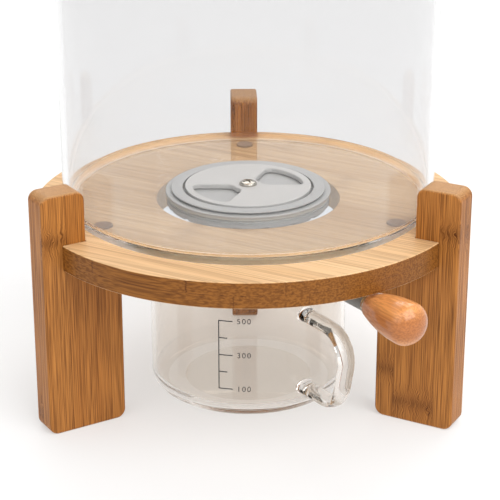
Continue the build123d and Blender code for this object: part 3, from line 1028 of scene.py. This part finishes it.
@dataclass
class Jar:
    """The glass jar, with the ground edge of its hole, its hazy heel and its clearer floor. The ground edge
    and the heel carry an amber tint, a painted reflection of the bamboo.
    """

    body: str = "stand"
    wall: float = 0.003
    floor: float = 0.0042
    hole_radius: float = 0.0395
    hole_edge: float = 0.0006
    corner: float = 0.0055
    inner_corner: float = 0.0035
    rim_round: float = 0.0014

    def build(self) -> None:
        """Turns the jar from its section and settles it."""
        bottom, rim = level_of("glass_jar")
        radius = radius_of("glass_jar")
        inside = radius - self.wall
        outline = rounded(
            [
                (self.hole_radius, bottom, self.hole_edge),
                (radius, bottom, self.corner),
                (radius, rim, self.rim_round),
                (inside, rim, self.rim_round),
                (inside, bottom + self.floor, self.inner_corner),
                (self.hole_radius, bottom + self.floor, self.hole_edge),
            ]
        )
        jar = smooth(turned("glass_jar_glass", outline))
        settle(jar, JAR_GLASS.material(jar.name), self.body, "glass_jar")
        # The hole's ground edge and the heel carry a painted amber reflection of the bamboo.
        jar.data.materials.append(GROUND_GLASS_PAINTED_REFLECTION.material("glass_jar_ground_edge"))
        jar.data.materials.append(HEEL_GLASS_PAINTED_REFLECTION.material("glass_jar_hazy_heel_painted_reflection"))
        jar.data.materials.append(FLOOR_GLASS.material("glass_jar_floor"))
        for face in jar.data.polygons:
            reach = face.center.xy.length
            if reach < self.hole_radius + self.hole_edge / 2:
                face.material_index = 1
            elif reach > radius - self.corner and face.center.z < bottom + self.corner:
                face.material_index = 2
            elif reach < inside - self.inner_corner and face.center.z < bottom + self.floor + self.wall:
                face.material_index = 3


@dataclass
class Valve:
    """The seat in the jar's floor, its gaskets, and the disc that turns in it."""

    body: str = "stand"
    turning_body: str = "lever"
    bore_radius: float = 0.00456
    boss_radius: float = 0.0075
    neck_bottom: float = 0.101061
    seat_bottom: float = 0.109961
    seat_top: float = 0.112361
    neck_inner: float = 0.034
    neck_radius: float = 0.038
    flange_radius: float = 0.0447
    flange_bottom: float = 0.111961
    flange_top: float = 0.113261
    lip_radius: float = 0.0417
    lip_bottom: float = 0.114011
    lip_undercut: float = 0.0014
    recess_radius: float = 0.0354
    edge: float = 0.0004
    window_inner: float = 0.008
    window_outer: float = 0.030
    window_span: float = 70.0
    window_angle: float = 33.0
    window_corner: float = 0.0045
    lever_turn: float = 75.0
    disc_rim_round: float = 0.00025
    disc_gap: float = 0.0013
    window_round: float = 0.0012
    gasket_edge: float = 0.0002
    seal_fit: float = 0.0003

    def build(self) -> None:
        """Builds and settles all pieces of the valve."""
        self.seat()
        self.disc()
        self.gasket("flange_gasket")
        self.gasket("clamp_gasket")
        dress_nodes(GREY_PLASTIC, "grey_plastic", ["clamp_nut"])
        dress_nodes(PLAIN_STEEL, "plain_steel", ["drive_shaft"])

    def windows(self, middle: float, low: float, high: float) -> list[Piece]:
        """Makes the tools that cut two opposite fan-shaped windows.

        Args:
            middle: Angle of the first window's middle.
            low: Level of the tools' lower ends.
            high: Level of their upper ends.

        Returns:
            The two tools.
        """
        inner, outer, corner = self.window_inner, self.window_outer, self.window_corner
        tuck_inner, tuck_outer = math.degrees(corner / inner), math.degrees(corner / outer)

        def spot(radius: float, angle: float) -> Point:
            """Gives the point at a radius and an angle."""
            return arc(radius, angle, angle, 1)[0]

        tools = []
        for half_turn in (0, 180):
            first = middle + half_turn - self.window_span / 2
            last = first + self.window_span
            outline = arc(inner, first + tuck_inner, last - tuck_inner, ARC_STEPS)[1:-1]
            outline += bend(spot(inner, last - tuck_inner), spot(inner, last), spot(inner + corner, last))
            outline += bend(spot(outer - corner, last), spot(outer, last), spot(outer, last - tuck_outer))
            outline += arc(outer, last - tuck_outer, first + tuck_outer, 3 * ARC_STEPS)[1:-1]
            outline += bend(spot(outer, first + tuck_outer), spot(outer, first), spot(outer - corner, first))
            outline += bend(spot(inner + corner, first), spot(inner, first), spot(inner, first + tuck_inner))
            tools.append(slab("window", outline, low, high))
        return tools

    def seat(self) -> None:
        """Models the seat: flange, neck and lip turned in one, with two windows cut through."""
        boss_bottom, lip_top = level_of("valve_seat")
        groove = self.lip_radius - self.lip_undercut
        outline = rounded(
            [
                (self.bore_radius, boss_bottom, 0),
                (self.boss_radius, boss_bottom, self.edge),
                (self.boss_radius, self.seat_bottom, self.edge),
                (self.neck_inner, self.seat_bottom, self.edge),
                (self.neck_inner, self.neck_bottom, self.edge),
                (self.neck_radius, self.neck_bottom, self.edge),
                (self.neck_radius, self.flange_bottom, 0),
                (self.flange_radius, self.flange_bottom, self.edge),
                (self.flange_radius, self.flange_top, self.edge),
                (groove, self.flange_top, 0),
                (groove, self.lip_bottom, 0),
                (self.lip_radius, self.lip_bottom, self.edge),
                (self.lip_radius, lip_top, self.edge),
                (self.recess_radius, lip_top, self.edge),
                (self.recess_radius, self.seat_top, 0),
                (self.bore_radius, self.seat_top, 0),
            ]
        )
        seat = turned("valve_seat_plastic", outline)
        thickness = self.seat_top - self.seat_bottom
        below, above = self.seat_bottom - thickness, self.seat_top + thickness
        tools = self.windows(self.window_angle - self.lever_turn, below, above)
        combine(seat, tools, "DIFFERENCE")
        # The seat's darker grey includes painted shade on the window floors.
        settle(smooth(seat), SEAT_PLASTIC_AND_PAINTED_SHADE.material(seat.name), self.body, "valve_seat")

    def disc(self) -> None:
        """Models the turning disc, with soft edges round its two windows."""
        low, high = level_of("shutter_disc")
        rim = arc(radius_of("shutter_disc") - self.disc_gap, 0, 360, TURN_STEPS)[:-1]
        disc = slab("shutter_disc_plastic", rim, low, high)
        soften_edges(disc, self.disc_rim_round)
        thickness = high - low
        tools = self.windows(self.window_angle, low - thickness, high + thickness)
        combine(disc, tools, "DIFFERENCE")
        soften_edges(disc, self.window_round, ARC_STEPS)
        settle(disc, GREY_PLASTIC.material(disc.name), self.turning_body, "shutter_disc")

    def gasket(self, node: str) -> None:
        """Models a flat ring that seals the jar's floor.

        Args:
            node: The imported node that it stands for.
        """
        low, high = level_of(node)
        inner, outer = self.neck_radius + self.seal_fit, radius_of(node)
        ring = turned(f"{node}_silicone", ring_section(inner, outer, low, high, self.gasket_edge))
        settle(smooth(ring), GREY_SILICONE.material(ring.name), self.body, node)


class Facing(Enum):
    """Which way a screw's head faces, with the turn that brings it there."""

    UP = 0.0
    DOWN = 180.0


@dataclass
class Screw:
    """A round-headed screw with a cross recess, on the jar's axis."""

    node: str
    facing: Facing
    body: str = "lever"
    shank_radius: float = 0.0019
    shank_length: float = 0.012
    head_radius: float = 0.0047
    head_height: float = 0.0023
    dome_share: float = 0.62
    cross_length: float = 0.0059
    cross_width: float = 0.0013
    cross_depth: float = 0.0014
    cross_turn: float = 24.0
    edge: float = 0.00012
    edge_segments: int = 2

    def build(self) -> None:
        """Turns the screw, cuts its cross and settles it."""
        low, high = level_of(self.node)
        seat = high - self.head_height if self.facing is Facing.UP else low + self.head_height
        shoulder = self.head_height * (1 - self.dome_share)
        outline = [
            (0.0, -self.shank_length),
            (self.shank_radius, -self.shank_length),
            (self.shank_radius, 0.0),
            (self.head_radius, 0.0),
            *dome(self.head_radius, shoulder, self.head_height * self.dome_share, ARC_STEPS),
            (0.0, self.head_height),
        ]
        screw = turned(f"{self.node}_steel", outline, SMALL_TURN_STEPS)
        reach = (-self.cross_length / 2, self.cross_length / 2)
        levels = (self.head_height - self.cross_depth, self.head_height + self.cross_depth)
        turns = (self.cross_turn, self.cross_turn + 90)
        tools = [block("cross", reach, self.cross_width, levels, turn) for turn in turns]
        combine(screw, tools, "DIFFERENCE")
        soften_edges(screw, self.edge, self.edge_segments)
        flip = Matrix.Rotation(math.radians(self.facing.value), 4, "X")
        screw.data.transform(Matrix.Translation((0, 0, seat)) @ flip)
        settle(screw, BRIGHT_STEEL.material(screw.name), self.body, self.node)


@dataclass
class Lever:
    """The arm under the board, its ferrule and its turned knob."""

    body: str = "lever"
    angle: float = -56.7
    height: float = 0.0828
    arm_thickness: float = 0.003
    hub_radius: float = 0.012
    tip_radius: float = 0.006
    tip_place: float = 0.091
    arm_end: float = 0.106
    socket_radius: float = 0.0049
    arm_edge: float = 0.0005
    stud_radius: float = 0.0031
    stud_depth: float = 0.0261
    ferrule_radius: float = 0.0054
    ferrule_edge: float = 0.0004
    knob_start: float = 0.108
    knob_belly: float = 0.1365
    knob_tip: float = 0.145
    knob_radius: float = 0.0113
    knob_neck_radius: float = 0.0062
    knob_neck_round: float = 0.001

    def along(self) -> Matrix:
        """Gives the frame whose z runs outwards along the lever."""
        return upright_frame(self.angle, self.height) @ Matrix.Rotation(math.radians(90), 4, "Y")

    def build(self) -> None:
        """Builds and settles all pieces of the lever."""
        self.arm()
        self.ferrule()
        self.knob()
        dress_nodes(PLAIN_STEEL, "plain_steel", ["knob_stud"])

    def arm(self) -> None:
        """Models the arm: a tapered flat bar with a round socket at its end."""
        lean = math.degrees(math.asin((self.hub_radius - self.tip_radius) / self.tip_place))
        outline = arc(self.hub_radius, 90 - lean, 270 + lean, 4 * ARC_STEPS)
        tip = arc(self.tip_radius, -90 + lean, 90 - lean, 2 * ARC_STEPS)
        outline += [(self.tip_place + x, y) for x, y in tip]
        half = self.arm_thickness / 2
        arm = slab("lever_arm_metal", outline, self.height - half, self.height + half)
        arm.data.transform(Matrix.Rotation(math.radians(self.angle), 4, "Z"))
        socket = drum("socket", self.socket_radius, self.tip_place, self.arm_end)
        socket.data.transform(self.along())
        combine(arm, [socket], "UNION")
        bore_start, bore_end = self.tip_place + self.arm_thickness, self.arm_end + self.arm_thickness
        bore = drum("bore", self.stud_radius, bore_start, bore_end)
        bore.data.transform(self.along())
        combine(arm, [bore], "DIFFERENCE")
        soften_edges(arm, self.arm_edge)
        settle(arm, GREY_METAL.material(arm.name), self.body, "lever_arm")

    def ferrule(self) -> None:
        """Models the ring between the arm and the knob."""
        radii, ends = (self.stud_radius, self.ferrule_radius), (self.arm_end, self.knob_start)
        outline = ring_section(*radii, *ends, self.ferrule_edge)
        ring = turned("knob_ferrule_steel", outline, SMALL_TURN_STEPS)
        ring.data.transform(self.along())
        settle(smooth(ring), BRIGHT_STEEL.material(ring.name), self.body, "knob_ferrule")

    def knob(self) -> None:
        """Turns the knob: slim under the board's rim and full outside it."""
        middle = (self.knob_start + self.knob_belly) / 2
        neck, belly = (self.knob_neck_radius, self.knob_start), (self.knob_radius, self.knob_belly)
        swell = bend(neck, (self.knob_radius, middle), belly, 3 * ARC_STEPS)[1:-1]
        nose = dome(*belly, self.knob_tip - self.knob_belly, 2 * ARC_STEPS)
        outline = [
            (0.0, self.knob_start + self.stud_depth),
            (self.stud_radius, self.knob_start + self.stud_depth),
            (self.stud_radius, self.knob_start),
            (self.knob_neck_radius - self.knob_neck_round, self.knob_start),
            *swell,
            *nose,
            (0.0, self.knob_tip),
        ]
        knob = turned("knob_turned_wood", outline, SMALL_TURN_STEPS)
        knob.data.transform(self.along())
        start = (0.0, self.knob_radius, self.height)
        finish = KNOB_WOOD.material(knob.name, Grain.LEVEL, self.angle, start)
        settle(smooth(knob), finish, self.body, "knob")


@dataclass
class Lid:
    """The bamboo lid with its plug and its soft ring."""

    body: str = "lid"
    plug_radius: float = 0.0945
    seal_inner: float = 0.093
    seal_band: float = 0.002
    seal_fin: float = 0.0012
    top_round: float = 0.003
    under_round: float = 0.001
    plug_edge: float = 0.0008
    grain_turn: float = 62.0
    fin_round: float = 0.0003

    def build(self) -> None:
        """Turns the lid and its ring and settles them."""
        plug_bottom, lid_top = level_of("lid_board")
        jar_rim = level_of("glass_jar")[1]
        radius = radius_of("lid_board")
        seal_low, seal_high = level_of("lid_seal")
        outline = rounded(
            [
                (0, plug_bottom, 0),
                (self.plug_radius, plug_bottom, self.plug_edge),
                (self.plug_radius, seal_low, 0),
                (self.seal_inner, seal_low, 0),
                (self.seal_inner, seal_high, 0),
                (self.plug_radius, seal_high, 0),
                (self.plug_radius, jar_rim, 0),
                (radius, jar_rim, self.under_round),
                (radius, lid_top, self.top_round),
                (0, lid_top, 0),
            ]
        )
        lid = smooth(turned("lid_board_bamboo", outline))
        finish = LID_BAMBOO_PAINTED_SHADE.material(lid.name, Grain.LEVEL, self.grain_turn, (0.0, 0.0, jar_rim))
        settle(lid, finish, self.body, "lid_board")
        outer, band = radius_of("lid_seal"), self.seal_inner + self.seal_band
        ring = turned(
            "lid_seal_silicone",
            rounded(
                [
                    (self.seal_inner, seal_low, 0),
                    (outer, seal_low, self.fin_round),
                    (outer, seal_low + self.seal_fin, self.fin_round),
                    (band, seal_low + self.seal_fin, self.fin_round),
                    (band, seal_high - self.seal_fin, self.fin_round),
                    (outer, seal_high - self.seal_fin, self.fin_round),
                    (outer, seal_high, self.fin_round),
                    (self.seal_inner, seal_high, 0),
                ]
            ),
        )
        settle(smooth(ring), CLEAR_SILICONE.material(ring.name), self.body, "lid_seal")


@dataclass
class Cup:
    """The glass measuring cup with its handle and its printed scale."""

    body: str = "cup"
    radius: float = 0.054
    wall: float = 0.0022
    floor: float = 0.0045
    corner: float = 0.009
    inner_corner: float = 0.007
    rim_round: float = 0.0009
    foot_width: float = 0.010
    base_rise: float = 0.001
    base_round: float = 0.02
    handle_angle: float = -57.0
    handle_line: float = 0.0935
    handle_width: float = 0.010
    handle_thickness: float = 0.007
    handle_top_drop: float = 0.011
    handle_low: float = 0.0155
    handle_low_tuck: float = 0.009
    handle_bend: float = 0.015
    root_flare: float = 0.0024
    flare_shares: tuple[float, ...] = (0.0, 0.15, 0.35, 0.6, 1.0)
    scale_angle: float = 251.6
    scale_low: float = 0.0181
    scale_high: float = 0.0576
    scale_steps: int = 4
    line_width: float = 0.00058
    long_tick: float = 0.0078
    short_tick: float = 0.0049
    number_gap: float = 0.0022
    number_size: float = 0.00434
    digit_spacing: float = 1.25
    first_number: int = 100
    number_step: int = 100
    ink_thickness: float = 0.00003
    ink_lift: float = 0.00006

    def build(self) -> None:
        """Builds the glass with its handle, then prints the scale on it."""
        self.height = level_of("measuring_cup")[1]
        self.glass()
        self.scale()

    def glass(self) -> None:
        """Turns the cup and unites it with its handle."""
        foot_inner = self.radius - self.corner - self.foot_width
        inside = self.radius - self.wall
        outline = rounded(
            [
                (0, self.base_rise, 0),
                (foot_inner, 0, self.base_round),
                (self.radius, 0, self.corner),
                (self.radius, self.height, self.rim_round),
                (inside, self.height, self.rim_round),
                (inside, self.floor, self.inner_corner),
                (0, self.floor, 0),
            ]
        )
        cup = turned("measuring_cup_glass", outline)
        combine(cup, [self.handle()], "UNION")
        settle(smooth(cup), CUP_GLASS.material(cup.name), self.body, "measuring_cup")

    def handle(self) -> Piece:
        """Draws an oval section along the handle's path, flared where it meets the cup.

        Returns:
            The closed handle, its ends inside the cup's wall.
        """
        top = self.height - self.handle_top_drop
        root = self.radius - self.wall / 2
        path = rounded(
            [
                (root, top, 0),
                (self.handle_line, top, self.handle_bend),
                (self.handle_line - self.handle_low_tuck, self.handle_low, self.handle_bend),
                (root, self.handle_low, 0),
            ]
        )
        line = [Vector(point) for point in path]
        reach = self.wall / 2 + self.root_flare
        starts = [line[0] + Vector((reach * share, 0)) for share in self.flare_shares]
        ends = [line[-1] + Vector((reach * share, 0)) for share in reversed(self.flare_shares)]
        line = starts + line[1:-1] + ends
        flares = [self.root_flare * (1 - math.sqrt(share * (2 - share))) for share in self.flare_shares]
        growths = flares + [0.0] * (len(line) - 2 * len(flares)) + flares[::-1]
        section = arc(1.0, 0, 360, 4 * ARC_STEPS)[:-1]
        piece = loop_piece("handle", [(0, y, x) for x, y in section])
        bpy.ops.mesh.edge_face_add()
        for _ in line[1:]:
            bpy.ops.mesh.extrude_region_move()
        bpy.ops.object.mode_set(mode="OBJECT")
        count = len(section)
        for index, (spot, growth) in enumerate(zip(line, growths)):
            ahead = (line[min(index + 1, len(line) - 1)] - line[max(index - 1, 0)]).normalized()
            side = Vector((-ahead.y, ahead.x))
            for vertex, (x, y) in zip(piece.data.vertices[index * count:(index + 1) * count], section):
                flat = spot + side * y * (self.handle_thickness / 2 + growth)
                vertex.co = (flat.x, flat.y, x * (self.handle_width / 2 + growth))
        bpy.ops.object.mode_set(mode="EDIT")
        close_shell()
        piece.data.transform(upright_frame(self.handle_angle))
        return piece

    def scale(self) -> None:
        """Prints the scale: an upright line, ticks, and a number at every second tick."""
        marks = [self.bar(0, self.scale_low, self.line_width, self.scale_high - self.scale_low)]
        rise = (self.scale_high - self.scale_low) / self.scale_steps
        for step in range(self.scale_steps + 1):
            level = self.scale_low + rise * step
            numbered = step % 2 == 0
            length = self.long_tick if numbered else self.short_tick
            marks.append(self.bar(0, level - self.line_width / 2, length, self.line_width))
            if numbered:
                text = str(self.first_number + self.number_step * step)
                marks.append(self.number(text, self.long_tick + self.number_gap, level))
        ink = joined("measuring_cup_scale", marks)
        reach = self.radius + self.ink_lift
        for vertex in ink.data.vertices:
            angle = math.radians(self.scale_angle) + vertex.co.x / self.radius
            vertex.co = (reach * math.cos(angle), reach * math.sin(angle), vertex.co.y)
        apply_modifier(ink, "SOLIDIFY", thickness=self.ink_thickness, offset=0.0)
        settle(ink, SCALE_INK.material(ink.name), self.body)

    def bar(self, left: float, low: float, width: float, height: float) -> Piece:
        """Makes a flat bar of the scale, laid out before it is wrapped round the cup.

        Args:
            left: Where it starts along the cup's wall.
            low: Its lowest level.
            width: Its width along the wall.
            height: Its height.

        Returns:
            The flat bar.
        """
        steps = max(1, round(width / self.line_width / 2))
        right_way = [left + width * step / steps for step in range(steps + 1)]
        outline = [(x, low, 0) for x in right_way] + [(x, low + height, 0) for x in reversed(right_way)]
        piece = loop_piece("bar", outline)
        bpy.ops.mesh.edge_face_add()
        bpy.ops.object.mode_set(mode="OBJECT")
        return piece

    def number(self, text: str, left: float, middle: float) -> Piece:
        """Makes a number of the scale as a flat mesh.

        Args:
            text: The digits.
            left: Where they start along the wall.
            middle: The level of their middle.

        Returns:
            The flat number.
        """
        bpy.ops.object.select_all(action="DESELECT")
        bpy.ops.object.text_add(location=(left, middle, 0))
        digits = bpy.context.object.data
        digits.body = text
        digits.size = self.number_size
        digits.space_character = self.digit_spacing
        digits.align_y = "CENTER"
        bpy.ops.object.convert(target="MESH")
        bpy.ops.object.transform_apply(location=True, rotation=True, scale=True)
        return bpy.context.object


@dataclass(frozen=True)
class SoftBox:
    """A square soft light, aimed at the dispenser from a direction."""

    name: str
    azimuth: float
    elevation: float
    energy: float
    distance: float = 2.2
    size: float = 2.0

    def hang(self, target: Vector) -> None:
        """Hangs the light and aims it.

        Args:
            target: The point that it is aimed at.
        """
        azimuth, elevation = math.radians(self.azimuth), math.radians(self.elevation)
        level = Vector((math.sin(azimuth), -math.cos(azimuth), 0)) * math.cos(elevation)
        away = level + Vector((0, 0, math.sin(elevation)))
        bpy.ops.object.light_add(type="AREA", location=target + away * self.distance)
        light = bpy.context.object
        light.name = self.name
        light.data.size = self.size
        light.data.energy = self.energy
        light.rotation_euler = (-away).to_track_quat("-Z", "Y").to_euler()


SOFT_BOXES = (
    SoftBox("front_right_box", azimuth=40.0, elevation=45.0, energy=46.0),
    SoftBox("front_left_box", azimuth=-35.0, elevation=38.0, energy=14.0),
    SoftBox("back_box", azimuth=170.0, elevation=55.0, energy=31.0),
)


@dataclass
class Studio:
    """The pale floor, the soft light and the camera at the photograph's viewing angle."""

    camera_distance: float = 0.9
    camera_height: float = 0.4367
    camera_pitch: float = 21.8
    stand_turn: float = 1.36
    aim_right: float = 0.065
    lens_mm: float = 127.0
    sensor_mm: float = 36.0
    glass_bounces: int = 20
    floor_size: float = 60.0
    floor_colour: Colour = (0.45, 0.45, 0.45)
    floor_roughness: float = 0.9
    near_fill: float = 0.42
    far_fill: float = 0.59
    fill_start: float = 0.9
    fill_end: float = 3.0
    horizon_strength: float = 0.9
    zenith_strength: float = 0.45
    light_target: Place = (0.0, 0.0, 0.12)

    def build(self) -> None:
        """Builds the floor, the lights and the camera."""
        self.floor()
        self.sky()
        for box in SOFT_BOXES:
            box.hang(Vector(self.light_target))
        self.camera()
        scene = bpy.context.scene
        scene.view_settings.view_transform = "Standard"
        scene.cycles.max_bounces = self.glass_bounces
        scene.cycles.glossy_bounces = self.glass_bounces
        scene.cycles.transmission_bounces = self.glass_bounces

    def floor(self) -> None:
        """Lays the pale lit floor, brighter towards the horizon so that it meets the sky unseen."""
        bpy.ops.object.select_all(action="DESELECT")
        bpy.ops.mesh.primitive_plane_add(size=self.floor_size)
        floor = bpy.context.object
        floor.name = "floor"
        material, tree, shader = start_material("floor_paint")
        shader.inputs["Base Color"].default_value = (*self.floor_colour, 1.0)
        shader.inputs["Roughness"].default_value = self.floor_roughness
        place = tree.node("ShaderNodeTexCoord", {}).outputs["Object"]
        away = tree.node("ShaderNodeVectorMath", {0: place}, operation="LENGTH").outputs["Value"]
        near, far = ((fill, fill, fill, 1.0) for fill in (self.near_fill, self.far_fill))
        glow = tree.blend(tree.ramp(away, self.fill_start, self.fill_end), near, far)
        tree.tree.links.new(glow, shader.inputs["Emission Color"])
        shader.inputs["Emission Strength"].default_value = 1.0
        floor.data.materials.append(material)

    def sky(self) -> None:
        """Surrounds the scene with white light, stronger near the horizon than overhead."""
        world = bpy.data.worlds.new("studio")
        world.use_nodes = True
        tree = Tree(world.node_tree)
        direction = tree.node("ShaderNodeTexCoord", {}).outputs["Generated"]
        height = tree.node("ShaderNodeSeparateXYZ", {0: direction}).outputs[2]
        levels = {0: height, 3: self.horizon_strength, 4: self.zenith_strength}
        strength = tree.node("ShaderNodeMapRange", levels).outputs[0]
        background = world.node_tree.nodes["Background"]
        background.inputs["Color"].default_value = (1.0, 1.0, 1.0, 1.0)
        world.node_tree.links.new(strength, background.inputs["Strength"])
        bpy.context.scene.world = world

    def camera(self) -> None:
        """Sets the camera at the photograph's viewing angle."""
        turn, distance = math.radians(self.stand_turn), self.camera_distance
        place = (-distance * math.sin(turn), -distance * math.cos(turn), self.camera_height)
        bpy.ops.object.camera_add(location=place)
        camera = bpy.context.object
        camera.name = "photo_camera"
        heading = -turn - math.radians(self.aim_right)
        camera.rotation_euler = (math.radians(90 - self.camera_pitch), 0, heading)
        camera.data.lens = self.lens_mm
        camera.data.sensor_width = self.sensor_mm
        bpy.context.scene.camera = camera


def main() -> None:
    """Builds the effects, the sub-assemblies and the studio in order."""
    logging.basicConfig(level=logging.INFO, format="%(name)s: %(message)s")
    for effect in (BambooFigure(), MouldedSkin(), PolishMarks()):
        effect.build()
    centre_screw = Screw("centre_screw", Facing.UP)
    lever_screw = Screw("lever_screw", Facing.DOWN)
    for assembly in (Stand(), Jar(), Valve(), centre_screw, Lever(), lever_screw, Lid(), Cup(), Studio()):
        LOG.info("building %s", type(assembly).__name__)
        assembly.build()


if __name__ == "__main__":
    main()
